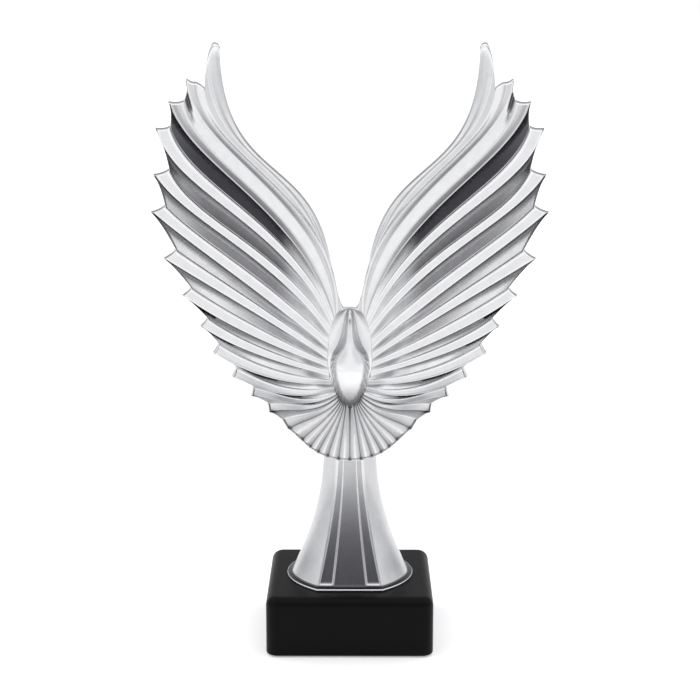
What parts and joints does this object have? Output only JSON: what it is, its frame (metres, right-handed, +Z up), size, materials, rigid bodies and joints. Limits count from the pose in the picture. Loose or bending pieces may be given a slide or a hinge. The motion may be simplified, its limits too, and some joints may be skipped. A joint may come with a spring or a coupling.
{
  "type": "figure trophy",
  "caption": "Silver trophy of two pleated, upswept wings spread from a pointed boss, on a flared column bolted to a soft-edged black block.",
  "frame": {"origin": "on the surface the trophy stands on, under the middle of the black block", "axes": "+Z up; the trophy's front looks along -Y; +X is to the right of someone facing the front"},
  "size_m": [0.143, 0.0616, 0.2222],
  "materials": {
    "silver_plate": "satin silver plating over a casting, softly brushed",
    "black_resin": "satin black moulded resin with soft edges",
    "foot_rubber": "matt rubber",
    "zinc_hardware": "bright zinc-plated steel",
    "plain_core": "plain turned tube"
  },
  "bodies": {
    "root": {"base_block": "black_resin", "foot_front_left": "foot_rubber", "foot_front_right": "foot_rubber", "foot_rear_left": "foot_rubber", "foot_rear_right": "foot_rubber", "foot_plate": "silver_plate", "column_shell": "silver_plate", "column_core": "plain_core", "tie_rod": "zinc_hardware", "base_washer": "zinc_hardware", "base_lock_washer": "zinc_hardware", "base_nut": "zinc_hardware", "rear_spine": "silver_plate", "left_wing": "silver_plate", "right_wing": "silver_plate", "left_wing_screw": "zinc_hardware", "right_wing_screw": "zinc_hardware", "centre_boss": "silver_plate", "boss_stud": "zinc_hardware", "boss_washer": "zinc_hardware", "boss_nut": "zinc_hardware"}
  },
  "joints": []
}
